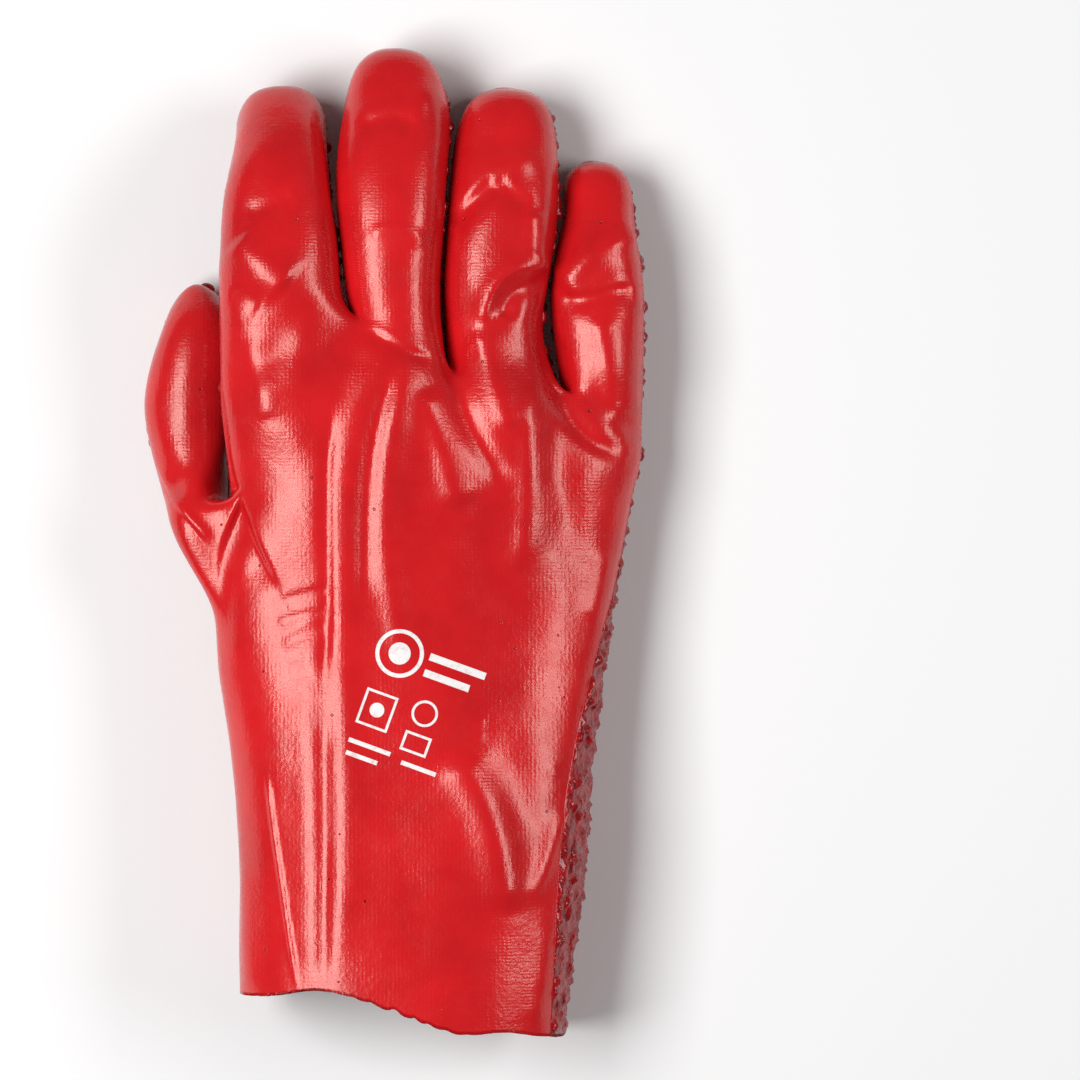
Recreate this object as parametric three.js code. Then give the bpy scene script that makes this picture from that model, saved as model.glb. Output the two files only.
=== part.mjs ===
// A PVC coated work glove for the right hand, lying palm down with its fingers a little curled.
// It is a dipped shell, hollow from the cuff to every fingertip. Its smooth back and its palm with a
// rough coat meet along the sides of the hand and of each digit. The hand and each digit have a
// back and a palm piece of their own, so that their collision pieces follow the hollow.
// Millimetres, +Z up, +Y from cuff to fingertips, thumb at -X.
//
// The surface is a coarse cage of four-cornered faces that is rounded off by subdivision. Tables
// give the places that the rounded surface passes through.
import * as THREE from "three";

// Driving sizes of the glove.
const BODY_LENGTH = 180; // cuff edge to the gap between the middle and ring fingers
const HAND_WIDTH = 116;
const HAND_THICKNESS = 39;
const CUFF_WIDTH = 88;
const CUFF_HEIGHT = 54;
const WALL = 1.5; // knitted liner and its coat
const PART_GAP = 0.4; // between two pieces
const PRESSED_FLAT = 1.6; // how deep the underside is pressed flat where the glove rests
const EDGE_SLANT = 0.13; // the cuff is cut longer on the little-finger side, per millimetre across

const SECTION_POWER = 2.3; // of the superellipse that a section follows: 2 is an ellipse
const FIT_ROUNDS = 8; // rounds that pull the rounded surface onto the places in the tables

// Columns of the cage round the hand: 0 to 8 over the back from the index to the little finger, 9
// down the little-finger side, 10 to 18 back under the palm and 19 on the index side.
const COLUMNS = 20;
const LITTLE_SIDE = 9;
const INDEX_SIDE = 19;
const palmColumn = (backColumn) => 18 - backColumn;

// Turns "a b c" and rows of numbers into a list of {a, b, c}.
const table = (columns, rows) => {
  const names = columns.split(" ");
  return rows.map((row) => Object.fromEntries(names.map((name, i) => [name, row[i]])));
};

// Rows of the cage from the cuff edge to the finger roots. along is a share of BODY_LENGTH and
// shift one of HAND_WIDTH. wide and deep run from 0, the cuff's own width and height, to 1, the
// hand's. under is the underside's height as a share of HAND_THICKNESS. roll and wrap are in
// degrees: how far the index side is raised, and how far the rough coat climbs the other side.
// knuckle runs from 0 to 1, where the row follows the finger roots.
const BODY_ROWS = table("along shift wide deep under roll wrap knuckle", [
  [0.0, 0.019, 0.01, 0.0, 0.0, 0, 24, 0],
  [0.085, 0.027, 0.08, 0.0, 0.0, 0, 28, 0],
  [0.19, 0.039, 0.18, 0.04, 0.0, 0, 32, 0],
  [0.3, 0.043, 0.29, 0.12, 0.0, 0, 33, 0],
  [0.41, 0.039, 0.41, 0.26, 0.0, 1, 29, 0],
  [0.51, 0.038, 0.59, 0.45, 0.01, 2, 24, 0],
  [0.6, 0.042, 0.74, 0.64, 0.04, 3.5, 18, 0],
  [0.695, 0.055, 0.86, 0.8, 0.1, 5, 10, 0],
  [0.785, 0.09, 0.78, 0.92, 0.16, 7, 4, 0],
  [0.785, 0.094, 0.91, 1.0, 0.21, 8, 0, 0.36],
  [0.785, 0.092, 1.0, 1.12, 0.25, 9, 0, 0.7],
  [0.785, 0.092, 1.0, 1.4, 0.3, 9, 0, 1],
]);
const THUMB_ROW = 6; // the thumb leaves the hand between this row and the second after it

// Where the columns of the back meet the finger roots: across is a share of half the hand's
// width and along one of BODY_LENGTH. Even columns are the fingers' borders.
const ROOTS = table("across along", [
  [-0.92, 0.99],
  [-0.68, 1.03],
  [-0.394, 1.05],
  [-0.165, 1.015],
  [0.062, 0.975],
  [0.334, 0.965],
  [0.616, 0.945],
  [0.79, 0.93],
  [0.94, 0.905],
]);
const WEBS = [1.069, 0.989, 0.945]; // the gaps between the fingers start here, along BODY_LENGTH
const ROOT_VALLEY = 0.24; // how much thinner the hand is between two finger roots

// Waves of the cuff edge: how far the cut runs up, as shares of HAND_WIDTH.
const EDGE_WAVES = table("across run rise", [
  [-0.14, 0.13, 0.045],
  [0.02, 0.05, 0.012],
  [0.13, 0.07, -0.02],
]);
const EDGE_FADE = 0.25; // share of BODY_LENGTH over which a wave of the edge dies out

// Folds are long ridges, with a rise above 0, and valleys. across and run are shares of the
// width, along of the length and rise of the thickness of the hand or digit that they lie on,
// spread is half their breadth as a share of the width, and turn is their angle from +X.
const BODY_FOLDS = table("across along turn run spread rise", [
  [-0.08, 0.86, 76, 0.3, 0.045, 0.05],
  [-0.17, 0.36, 90, 0.5, 0.05, 0.045],
  [0.0, 0.82, 73, 0.26, 0.04, -0.04],
  [0.13, 0.88, 113, 0.22, 0.05, -0.055],
  [0.24, 0.9, 100, 0.2, 0.06, 0.045],
  [0.42, 0.9, 125, 0.16, 0.05, -0.05],
  [0.32, 0.64, 92, 0.4, 0.05, 0.04],
  [0.2, 0.45, 98, 0.4, 0.07, -0.05],
  [-0.3, 0.75, 116, 0.26, 0.045, 0.05],
  [-0.25, 0.62, 20, 0.09, 0.04, -0.05],
  [-0.31, 0.13, 100, 0.24, 0.045, -0.05],
  [0.38, 0.13, 80, 0.3, 0.055, 0.04],
]);

// The digits. share is a digit's width as a share of HAND_WIDTH, and each root's place is in shares
// of HAND_WIDTH and BODY_LENGTH. Of a ring, along is a share of the digit's length, across of its
// width, lift runs from 0, resting on the floor, to 1, level with the hand, wide and deep are
// shares of its width and thickness, and turn is its heading in degrees from +Y towards -X. The
// last row is the tip.
const DIGITS = [
  {
    name: "index",
    length: 66.8,
    share: 0.2845,
    thickness: 27,
    root: { across: -0.264, along: 1.03 },
    rings: table("along across lift wide deep turn", [
      [0.19, 0.0, 1.02, 1.02, 1.06, 0],
      [0.35, -0.012, 1.0, 0.975, 1.02, 1],
      [0.52, -0.024, 0.88, 0.91, 0.98, 0],
      [0.68, -0.014, 0.64, 0.82, 0.95, -1],
      [0.82, -0.004, 0.31, 0.75, 0.92, -1],
      [0.94, 0.0, 0.02, 0.64, 0.78, 0],
      [1.0, 0.04, 0.0, 0, 0, 0],
    ]),
    folds: table("across along turn run spread rise", [
      [-0.02, 0.36, 16, 0.4, 0.14, -0.075],
      [0.1, 0.18, 135, 0.5, 0.14, 0.045],
    ]),
  },
  {
    name: "middle",
    length: 82,
    share: 0.2586,
    thickness: 27,
    root: { across: 0.001, along: 1.017 },
    rings: table("along across lift wide deep turn", [
      [0.155, 0.0, 1.03, 0.865, 1.06, 0],
      [0.32, -0.015, 1.05, 0.93, 1.02, 1],
      [0.48, -0.023, 1.0, 0.995, 0.99, 0],
      [0.64, -0.003, 0.8, 1.01, 0.96, -2],
      [0.78, 0.028, 0.5, 0.965, 0.93, -2],
      [0.885, 0.017, 0.18, 0.8, 0.88, 2],
      [0.96, 0.01, 0.0, 0.48, 0.58, 0],
      [1.0, 0.035, 0.02, 0, 0, 0],
    ]),
    folds: table("across along turn run spread rise", [
      [-0.05, 0.78, -8, 0.45, 0.13, -0.07],
      [0.1, 0.02, -20, 0.4, 0.12, -0.06],
    ]),
  },
  {
    name: "ring",
    length: 79.3,
    share: 0.2586,
    thickness: 26,
    root: { across: 0.24, along: 0.972 },
    rings: table("along across lift wide deep turn", [
      [0.12, 0.0, 1.03, 0.91, 1.05, 0],
      [0.3, 0.0, 1.07, 0.95, 1.02, -1],
      [0.48, 0.047, 1.02, 1.0, 0.99, -3],
      [0.63, 0.08, 0.84, 1.0, 0.96, -2],
      [0.78, 0.093, 0.52, 0.95, 0.92, -1],
      [0.885, 0.107, 0.19, 0.82, 0.87, 0],
      [0.96, 0.107, 0.0, 0.55, 0.6, 0],
      [1.0, 0.08, 0.02, 0, 0, 0],
    ]),
    folds: table("across along turn run spread rise", [
      [0.1, 0.33, 15, 0.42, 0.12, -0.07],
      [0.05, 0.47, 20, 0.42, 0.1, 0.04],
      [-0.25, 0.68, 40, 0.4, 0.12, -0.055],
    ]),
  },
  {
    name: "little",
    length: 66.3,
    share: 0.2198,
    thickness: 23,
    root: { across: 0.483, along: 0.933 },
    rings: table("along across lift wide deep turn", [
      [0.14, 0.03, 1.03, 0.93, 1.08, 0],
      [0.31, 0.004, 1.07, 0.99, 1.04, 0],
      [0.47, -0.008, 1.03, 1.0, 1.0, 0],
      [0.63, 0.0, 0.82, 0.88, 0.97, -1],
      [0.77, 0.008, 0.52, 0.765, 0.93, 0],
      [0.88, -0.012, 0.19, 0.72, 0.88, 4],
      [0.96, -0.06, 0.0, 0.48, 0.62, 8],
      [1.0, -0.11, 0.02, 0, 0, 8],
    ]),
    folds: table("across along turn run spread rise", [[-0.05, 0.47, 2, 0.5, 0.14, -0.08]]),
  },
  {
    name: "thumb",
    length: 74.7,
    share: 0.2241,
    thickness: 24,
    root: { across: -0.405, along: 0.7 },
    rings: table("along across lift wide deep turn", [
      [0.088, -0.14, 0.74, 0.72, 1.04, 52],
      [0.22, -0.25, 0.36, 0.72, 1.02, 30],
      [0.36, -0.315, 0.18, 0.82, 1.0, 9],
      [0.518, -0.34, 0.08, 0.98, 1.0, 0],
      [0.669, -0.304, 0.04, 0.94, 0.98, -4],
      [0.81, -0.242, 0.0, 0.81, 0.93, -5],
      [0.925, -0.258, 0.0, 0.54, 0.7, 0],
      [1.0, -0.285, 0.0, 0, 0, 0],
    ]),
    folds: table("across along turn run spread rise", [
      [-0.28, 0.28, 120, 0.4, 0.14, -0.05],
      [-0.3, 0.62, 95, 0.5, 0.16, -0.03],
    ]),
  },
].map((digit) => ({ ...digit, width: digit.share * HAND_WIDTH }));

const radians = THREE.MathUtils.degToRad;
const lerp = THREE.MathUtils.lerp;
const signedPower = (value, power) => Math.sign(value) * Math.abs(value) ** power;

// A mesh of four-cornered faces, each with the side of the glove and the part that it is on.
class Cage {
  points = [];
  faces = [];

  add(point) {
    return this.points.push(point) - 1;
  }

  quad(corners, side, part) {
    this.faces.push({ corners, side, part });
  }
}

// Centre, directions and half sizes of the hand at a row of its table.
function bodyPlace(row) {
  const thickness = lerp(CUFF_HEIGHT, HAND_THICKNESS, Math.min(row.deep, 1));
  const thinning = 1 - 0.4 * Math.max(0, row.deep - 1);
  const roll = radians(row.roll);
  const under = row.under * HAND_THICKNESS - PRESSED_FLAT;
  return {
    centre: new THREE.Vector3(row.shift * HAND_WIDTH, 0, under + (thickness * thinning) / 2),
    across: new THREE.Vector3(Math.cos(roll), 0, -Math.sin(roll)),
    up: new THREE.Vector3(Math.sin(roll), 0, Math.cos(roll)),
    halfWidth: lerp(CUFF_WIDTH, HAND_WIDTH, row.wide) / 2,
    halfDepth: (thickness * thinning) / 2,
  };
}

// Angle round the section at which a column lies, from the little-finger side over the back.
function columnAngle(column, wrap) {
  if (column === INDEX_SIDE) return 180;
  if (column <= LITTLE_SIDE) return wrap + ((180 - wrap) * (LITTLE_SIDE - column)) / 10;
  return 360 + wrap - ((180 + wrap) * (column - LITTLE_SIDE)) / 10;
}

// How far the cuff's cut edge runs up at a place across the back.
function edgeWave(x) {
  return EDGE_WAVES.reduce((sum, { across, run, rise }) => {
    const off = (x - across * HAND_WIDTH) / (run * HAND_WIDTH);
    return sum + rise * HAND_WIDTH * Math.exp(-off * off);
  }, 0);
}

// Place that the surface passes through at a row and column of the hand.
function bodyPoint(row, column) {
  const place = bodyPlace(row);
  const angle = radians(columnAngle(column, row.wrap));
  const back = column <= 8 ? column : palmColumn(column);
  const onRim = column === LITTLE_SIDE || column === INDEX_SIDE;
  let across = signedPower(Math.cos(angle), 2 / SECTION_POWER);
  if (!onRim) across = lerp(across, ROOTS[back].across, row.knuckle ** 0.6);
  const height = Math.max(0, 1 - Math.abs(across) ** SECTION_POWER) ** (1 / SECTION_POWER);
  const border = !onRim && back % 2 === 0 && back > 0 && back < 8;
  const valley = border ? 1 - ROOT_VALLEY * row.knuckle ** 2 : 1;
  const up = Math.sign(Math.sin(angle)) * height * valley * (column === INDEX_SIDE ? 0 : 1);
  const point = place.centre
    .clone()
    .addScaledVector(place.across, across * place.halfWidth)
    .addScaledVector(place.up, up * place.halfDepth);
  const nearest = column === LITTLE_SIDE ? 8 : column === INDEX_SIDE ? 0 : back;
  const straight = row.along * BODY_LENGTH - (point.x - place.centre.x) * EDGE_SLANT * (1 - row.along);
  point.y = lerp(straight, ROOTS[nearest].along * BODY_LENGTH, row.knuckle);
  point.y += edgeWave(point.x) * (1 - THREE.MathUtils.smoothstep(row.along, 0, EDGE_FADE));
  return point;
}

// Centre and half sizes of a digit at each row of its table.
function digitPlaces(digit) {
  const rootX = digit.root.across * HAND_WIDTH;
  const hand = bodyPlace(digit.name === "thumb" ? BODY_ROWS[THUMB_ROW + 1] : BODY_ROWS.at(-1));
  const rootZ = hand.centre.z + ((rootX - hand.centre.x) / hand.across.x) * hand.across.z;
  return digit.rings.map((ring) => {
    const halfDepth = (digit.thickness * (ring.deep || 0.8)) / 2;
    const resting = halfDepth - PRESSED_FLAT * 0.75;
    return {
      centre: new THREE.Vector3(
        rootX + ring.across * digit.width,
        digit.root.along * BODY_LENGTH + ring.along * digit.length,
        lerp(resting, rootZ, ring.lift),
      ),
      heading: radians(ring.turn),
      halfWidth: (digit.width * ring.wide) / 2,
      halfDepth: ring.deep ? halfDepth : 0,
    };
  });
}

// Adds a digit to the cage from the ring of eight points that it leaves the hand by. The ring
// starts above the digit's left side and runs over its back, with the left side itself last.
function addDigit(cage, digit, socket) {
  const places = digitPlaces(digit);
  let ring = socket;
  places.forEach((place, i) => {
    if (i === places.length - 1) {
      const tip = cage.add(place.centre);
      for (const [start, side] of [[7, "back"], [1, "back"], [3, "palm"], [5, "palm"]])
        cage.quad([ring[start], ring[(start + 1) % 8], ring[(start + 2) % 8], tip], side, digit.name);
      return;
    }
    const before = places[Math.max(i - 1, 0)].centre;
    const rise = places[i + 1].centre.clone().sub(before);
    const slope = Math.atan2(rise.z, Math.hypot(rise.x, rise.y));
    const across = new THREE.Vector3(Math.cos(place.heading), Math.sin(place.heading), 0);
    const ahead = new THREE.Vector3(-Math.sin(place.heading), Math.cos(place.heading), 0);
    const up = ahead.multiplyScalar(-Math.sin(slope)).add(new THREE.Vector3(0, 0, Math.cos(slope)));
    const next = [135, 90, 45, 0, -45, -90, -135, 180].map((degrees) => {
      const angle = radians(degrees);
      return cage.add(
        place.centre
          .clone()
          .addScaledVector(across, place.halfWidth * signedPower(Math.cos(angle), 2 / SECTION_POWER))
          .addScaledVector(up, place.halfDepth * signedPower(Math.sin(angle), 2 / SECTION_POWER)),
      );
    });
    for (let k = 0; k < 8; k++) {
      const side = k < 3 || k === 7 ? "back" : "palm";
      const after = (k + 1) % 8;
      cage.quad([ring[k], ring[after], next[after], next[k]], side, digit.name);
    }
    ring = next;
  });
}

// The whole cage: the hand's rows, a socket for each digit, and the digits.
function makeCage() {
  const cage = new Cage();
  const rows = BODY_ROWS.map((row, r) =>
    Array.from({ length: COLUMNS }, (_, column) => {
      const inThumb = r === THUMB_ROW + 1 && column === INDEX_SIDE;
      return inThumb ? -1 : cage.add(bodyPoint(row, column));
    }),
  );
  for (let r = 0; r + 1 < rows.length; r++) {
    for (let column = 0; column < COLUMNS; column++) {
      const after = (column + 1) % COLUMNS;
      const corners = [rows[r][column], rows[r][after], rows[r + 1][after], rows[r + 1][column]];
      const side = column < LITTLE_SIDE || column === INDEX_SIDE ? "back" : "palm";
      if (!corners.includes(-1)) cage.quad(corners, side, "hand");
    }
  }

  const last = rows.at(-1);
  const webs = WEBS.map((along, i) => {
    const border = 2 * (i + 1);
    const ends = [last[border], last[palmColumn(border)]].map((at) => cage.points[at]);
    return cage.add(ends[0].clone().lerp(ends[1], 0.5).setY(along * BODY_LENGTH));
  });
  const fingers = DIGITS.filter((digit) => digit.name !== "thumb");
  fingers.forEach((digit, i) => {
    const back = [2 * i, 2 * i + 1, 2 * i + 2].map((column) => last[column]);
    const palm = [2 * i + 2, 2 * i + 1, 2 * i].map((column) => last[palmColumn(column)]);
    const right = i < webs.length ? webs[i] : last[LITTLE_SIDE];
    const left = i > 0 ? webs[i - 1] : last[INDEX_SIDE];
    addDigit(cage, digit, [...back, right, ...palm, left]);
  });

  const [low, mid, high] = [0, 1, 2].map((i) => rows[THUMB_ROW + i]);
  const thumb = DIGITS.find((digit) => digit.name === "thumb");
  addDigit(cage, thumb, [low[0], mid[0], high[0], high[19], high[18], mid[18], low[18], low[19]]);
  return cage;
}

// Edges of a cage, each with its two ends and the faces beside it.
function edgesOf(cage) {
  const edges = new Map();
  cage.faces.forEach(({ corners }, face) => {
    corners.forEach((from, i) => {
      const to = corners[(i + 1) % 4];
      const key = from < to ? `${from},${to}` : `${to},${from}`;
      if (!edges.has(key)) edges.set(key, { ends: [from, to], faces: [] });
      edges.get(key).faces.push(face);
    });
  });
  return edges;
}

const average = (points) =>
  points.reduce((sum, p) => sum.add(p), new THREE.Vector3()).divideScalar(points.length);

// Where one step of Catmull-Clark subdivision takes a cage's own points, with the new points in
// the middle of its faces and on its edges.
function smoothed(cage, edges) {
  const { points, faces } = cage;
  const facePoints = faces.map(({ corners }) => average(corners.map((at) => points[at])));
  const near = points.map(() => ({ faces: [], middles: [], rim: [] }));
  faces.forEach(({ corners }, face) => corners.forEach((at) => near[at].faces.push(facePoints[face])));
  const edgePoints = new Map();
  for (const [key, { ends, faces: beside }] of edges) {
    const middle = average(ends.map((at) => points[at]));
    const open = beside.length === 1;
    edgePoints.set(
      key,
      open ? middle : average([...ends.map((at) => points[at]), ...beside.map((f) => facePoints[f])]),
    );
    for (const at of ends) (open ? near[at].rim : near[at].middles).push(middle);
  }
  const moved = points.map((point, at) => {
    const { faces: around, middles, rim } = near[at];
    if (rim.length) return average([...rim, point, point]);
    const count = around.length;
    return average(around)
      .addScaledVector(average(middles), 2)
      .addScaledVector(point, count - 3)
      .divideScalar(count);
  });
  return { moved, facePoints, edgePoints };
}

// Shifts the cage so that its rounded surface passes through its present points.
function fit(cage) {
  const edges = edgesOf(cage);
  const targets = cage.points.map((point) => point.clone());
  for (let round = 0; round < FIT_ROUNDS; round++) {
    const { moved } = smoothed(cage, edges);
    cage.points.forEach((point, at) => point.add(targets[at]).sub(moved[at]));
  }
  return cage;
}

// One step of subdivision: each face becomes four.
function subdivide(cage) {
  const edges = edgesOf(cage);
  const { moved, facePoints, edgePoints } = smoothed(cage, edges);
  const finer = new Cage();
  moved.forEach((point) => finer.add(point));
  const edgeAt = new Map([...edgePoints].map(([key, point]) => [key, finer.add(point)]));
  const between = (a, b) => edgeAt.get(a < b ? `${a},${b}` : `${b},${a}`);
  cage.faces.forEach(({ corners, side, part }, face) => {
    const middle = finer.add(facePoints[face]);
    corners.forEach((at, i) => {
      const quad = [at, between(at, corners[(i + 1) % 4]), middle, between(corners[(i + 3) % 4], at)];
      finer.quad(quad, side, part);
    });
  });
  return finer;
}

// The outward direction at each point.
function normalsOf({ points, faces }) {
  const normals = points.map(() => new THREE.Vector3());
  for (const { corners } of faces) {
    const [a, b, c, d] = corners.map((at) => points[at]);
    const normal = c.clone().sub(a).cross(d.clone().sub(b));
    for (const at of corners) normals[at].add(normal);
  }
  return normals.map((normal) => normal.normalize());
}

// Height of the folds of one hand or digit at a place in plan, measured as its folds are.
function foldHeight(folds, x, y, unit) {
  return folds.reduce((sum, fold) => {
    const turn = radians(fold.turn);
    const dx = x - fold.across * unit.width;
    const dy = y - fold.along * unit.length;
    const down = (dx * Math.cos(turn) + dy * Math.sin(turn)) / (fold.run * unit.width);
    const aside = (dy * Math.cos(turn) - dx * Math.sin(turn)) / (fold.spread * unit.width);
    return sum + fold.rise * unit.thickness * Math.exp(-down * down - aside * aside);
  }, 0);
}

// Raises the folds on the back of the rounded cage.
function addFolds(cage) {
  const hand = { width: HAND_WIDTH, length: BODY_LENGTH, thickness: HAND_THICKNESS };
  const parts = [
    { name: "hand", folds: BODY_FOLDS, unit: hand, x: 0, y: 0 },
    ...DIGITS.map((digit) => ({
      name: digit.name,
      folds: digit.folds,
      unit: digit,
      x: digit.root.across * HAND_WIDTH,
      y: digit.root.along * BODY_LENGTH,
    })),
  ];
  const owners = cage.points.map(() => []);
  for (const { corners, part } of cage.faces) for (const at of corners) owners[at].push(part);
  const normals = normalsOf(cage);
  cage.points.forEach((point, at) => {
    const facing = THREE.MathUtils.smoothstep(normals[at].z, 0.1, 0.7);
    let height = 0;
    for (const { name, folds, unit, x, y } of parts) {
      const share = owners[at].filter((owner) => owner === name).length / owners[at].length;
      if (share) height += share * foldHeight(folds, point.x - x, point.y - y, unit);
    }
    point.addScaledVector(normals[at], facing * height);
  });
}

// The glove's outside and inside as points, with the pressed-flat underside.
function makeWalls(cage) {
  const normals = normalsOf(cage);
  const outside = cage.points.map((point) => point.clone().setZ(Math.max(point.z, 0)));
  const inside = cage.points.map((point, at) => {
    const inner = point.clone().addScaledVector(normals[at], -WALL);
    return inner.setZ(Math.max(inner.z, WALL));
  });
  return { outside, inside };
}

// The piece of the glove that a face belongs to. Each digit has a back and a palm of its own.
const pieceOf = ({ side, part }) =>
  part === "hand" ? { back: "smooth_back", palm: "rough_palm" }[side] : `${part}_${side}`;

// How one piece's borders are drawn back, so that it stays clear of its neighbours.
function borderShifts(cage, name) {
  const inward = new Map();
  for (const { ends, faces } of edgesOf(cage).values()) {
    const own = faces.filter((face) => pieceOf(cage.faces[face]) === name);
    if (own.length !== 1 || faces.length !== 2) continue;
    const [from, to] = ends.map((at) => cage.points[at]);
    const along = to.clone().sub(from).normalize();
    const middle = average(cage.faces[own[0]].corners.map((at) => cage.points[at]));
    const step = middle.sub(from).projectOnPlane(along).normalize();
    for (const at of ends) inward.set(at, [...(inward.get(at) ?? []), step]);
  }
  const shifts = new Map();
  for (const [at, steps] of inward) {
    const sum = steps.reduce((total, step) => total.add(step), new THREE.Vector3());
    const mitre = Math.min(2 / sum.length(), 2);
    shifts.set(at, sum.setLength((PART_GAP / 2) * (steps.length > 1 ? mitre : 1)));
  }
  return shifts;
}

// One piece of the glove as a closed shell: outer faces, inner faces and the rim between them.
function makeShell(cage, walls, name) {
  const shifts = borderShifts(cage, name);
  const positions = [];
  const index = [];
  const seen = new Map();
  const place = (at, wall) => {
    const key = `${at},${wall}`;
    if (!seen.has(key)) {
      const point = walls[wall][at].clone().add(shifts.get(at) ?? new THREE.Vector3());
      point.z = Math.max(point.z, wall === "outside" ? 0 : WALL);
      seen.set(key, positions.push(point) - 1);
    }
    return seen.get(key);
  };
  const split = (a, b, c, d) => {
    const shorter = positions[a].distanceTo(positions[c]) < positions[b].distanceTo(positions[d]);
    index.push(...(shorter ? [a, b, c, a, c, d] : [a, b, d, b, c, d]));
  };
  const open = new Map();
  for (const face of cage.faces) {
    if (pieceOf(face) !== name) continue;
    const { corners } = face;
    split(...corners.map((at) => place(at, "outside")));
    split(...corners.map((at) => place(at, "inside")).reverse());
    corners.forEach((from, i) => {
      const to = corners[(i + 1) % 4];
      if (!open.delete(`${to},${from}`)) open.set(`${from},${to}`, [from, to]);
    });
  }
  for (const [from, to] of open.values()) {
    const outer = [place(to, "outside"), place(from, "outside")];
    split(...outer, place(from, "inside"), place(to, "inside"));
  }
  return new THREE.BufferGeometry().setFromPoints(positions).setIndex(index);
}

function piece(name, geometry, material) {
  geometry.computeVertexNormals();
  const mesh = new THREE.Mesh(geometry, new THREE.MeshStandardMaterial(material));
  mesh.name = name;
  return mesh;
}

const surface = subdivide(fit(makeCage()));
addFolds(surface);
const walls = makeWalls(surface);
const coats = {
  back: { color: "#d01c1f", roughness: 0.18, metalness: 0 },
  palm: { color: "#a8141a", roughness: 0.3, metalness: 0 },
};

const glove = new THREE.Group();
for (const part of ["hand", ...DIGITS.map((digit) => digit.name)]) {
  for (const [side, coat] of Object.entries(coats)) {
    const name = pieceOf({ side, part });
    glove.add(piece(name, makeShell(surface, walls, name), coat));
  }
}

// The origin is the middle of the glove's footprint, on the surface that it lies on.
const box = new THREE.Box3().setFromObject(glove);
const middle = box.getCenter(new THREE.Vector3());
glove.position.set(-middle.x, -middle.y, -box.min.z);

export default glove;
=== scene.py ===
"""A red PVC coated work glove for the right hand, lying palm down on a pale floor.

The glove is one dipped skin over a knitted liner. A coarse cage of four-cornered faces gives its
form, as in the CAD model: rings of points round the hand and round each digit, grown one from
another. The cage is rounded off by subdivision, its folds are raised, and it is parted into the
smooth back and the rough palm, each a closed shell. Tables are in millimetres or in shares of
named sizes; meshes are in metres.
"""

import logging
import math
from dataclasses import dataclass, field
from enum import Enum, IntEnum
from typing import Any, Iterable, Sequence

import bmesh
import bpy
import numpy as np
from mathutils import Matrix, Vector, noise
from mathutils.bvhtree import BVHTree
from mathutils.kdtree import KDTree


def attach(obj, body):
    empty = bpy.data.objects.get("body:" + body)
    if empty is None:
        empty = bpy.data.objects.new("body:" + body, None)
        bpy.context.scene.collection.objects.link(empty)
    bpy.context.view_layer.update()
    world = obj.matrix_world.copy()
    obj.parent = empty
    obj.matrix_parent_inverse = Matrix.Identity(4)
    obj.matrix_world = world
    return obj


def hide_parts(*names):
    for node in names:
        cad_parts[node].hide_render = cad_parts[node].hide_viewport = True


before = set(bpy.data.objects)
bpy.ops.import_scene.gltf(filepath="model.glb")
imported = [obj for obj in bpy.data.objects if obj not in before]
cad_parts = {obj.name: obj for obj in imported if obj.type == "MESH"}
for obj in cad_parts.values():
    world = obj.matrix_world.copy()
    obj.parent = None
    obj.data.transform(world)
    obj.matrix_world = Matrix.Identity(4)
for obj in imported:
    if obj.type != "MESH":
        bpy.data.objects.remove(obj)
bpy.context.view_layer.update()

log = logging.getLogger("glove")
logging.basicConfig(level=logging.INFO, format="%(name)s: %(message)s")

MM = 0.001


# Units, colours and small helpers


def linear(hex_colour: str, alpha: float = 1.0) -> tuple[float, float, float, float]:
    """Turns an sRGB hex colour into the linear values that a shader takes.

    Args:
        hex_colour: Six hex digits after a hash sign.
        alpha: The fourth value, as it is.

    Returns:
        Red, green, blue and alpha, linear.
    """
    digits = hex_colour.lstrip("#")
    values = [int(digits[i : i + 2], 16) / 255 for i in (0, 2, 4)]
    r, g, b = (v / 12.92 if v <= 0.04045 else ((v + 0.055) / 1.055) ** 2.4 for v in values)
    return r, g, b, alpha


def smoothstep(value: Any, low: float, high: float) -> Any:
    """A soft step from 0 at low to 1 at high, for numbers and arrays alike."""
    t = np.clip((value - low) / (high - low), 0.0, 1.0)
    return t * t * (3 - 2 * t)


def mix(a: float, b: float, share: float) -> float:
    """The value that lies a share of the way from a to b."""
    return a + (b - a) * share


def signed_power(value: float, power: float) -> float:
    """A power that keeps its value's sign."""
    return math.copysign(abs(value) ** power, value)


def rounded_path(path: Iterable[tuple[float, float]], rounds: int = 2) -> np.ndarray:
    """Cuts the corners of a path, so that it bends softly.

    Args:
        path: Its points.
        rounds: How many times its corners are cut.

    Returns:
        The points of the softer path.
    """
    points = np.array(list(path))
    for _ in range(rounds):
        near, far = points[:-1], points[1:]
        cut = np.stack([near * 0.75 + far * 0.25, near * 0.25 + far * 0.75], axis=1)
        points = np.vstack([points[:1], cut.reshape(-1, 2), points[-1:]])
    return points


def rows(columns: str, *values: tuple[float, ...]) -> list[dict[str, float]]:
    """Names the columns of a table.

    Args:
        columns: Column names with spaces between them.
        values: One tuple for each row.

    Returns:
        One dict for each row.
    """
    names = columns.split()
    return [dict(zip(names, row, strict=True)) for row in values]


# Form of the glove: the same sizes and tables as the CAD model


class Side(IntEnum):
    """Which coat a face of the glove has, and whether it is on the thumb."""

    BACK = 0
    PALM = 1
    THUMB_BACK = 2
    THUMB_PALM = 3


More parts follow.
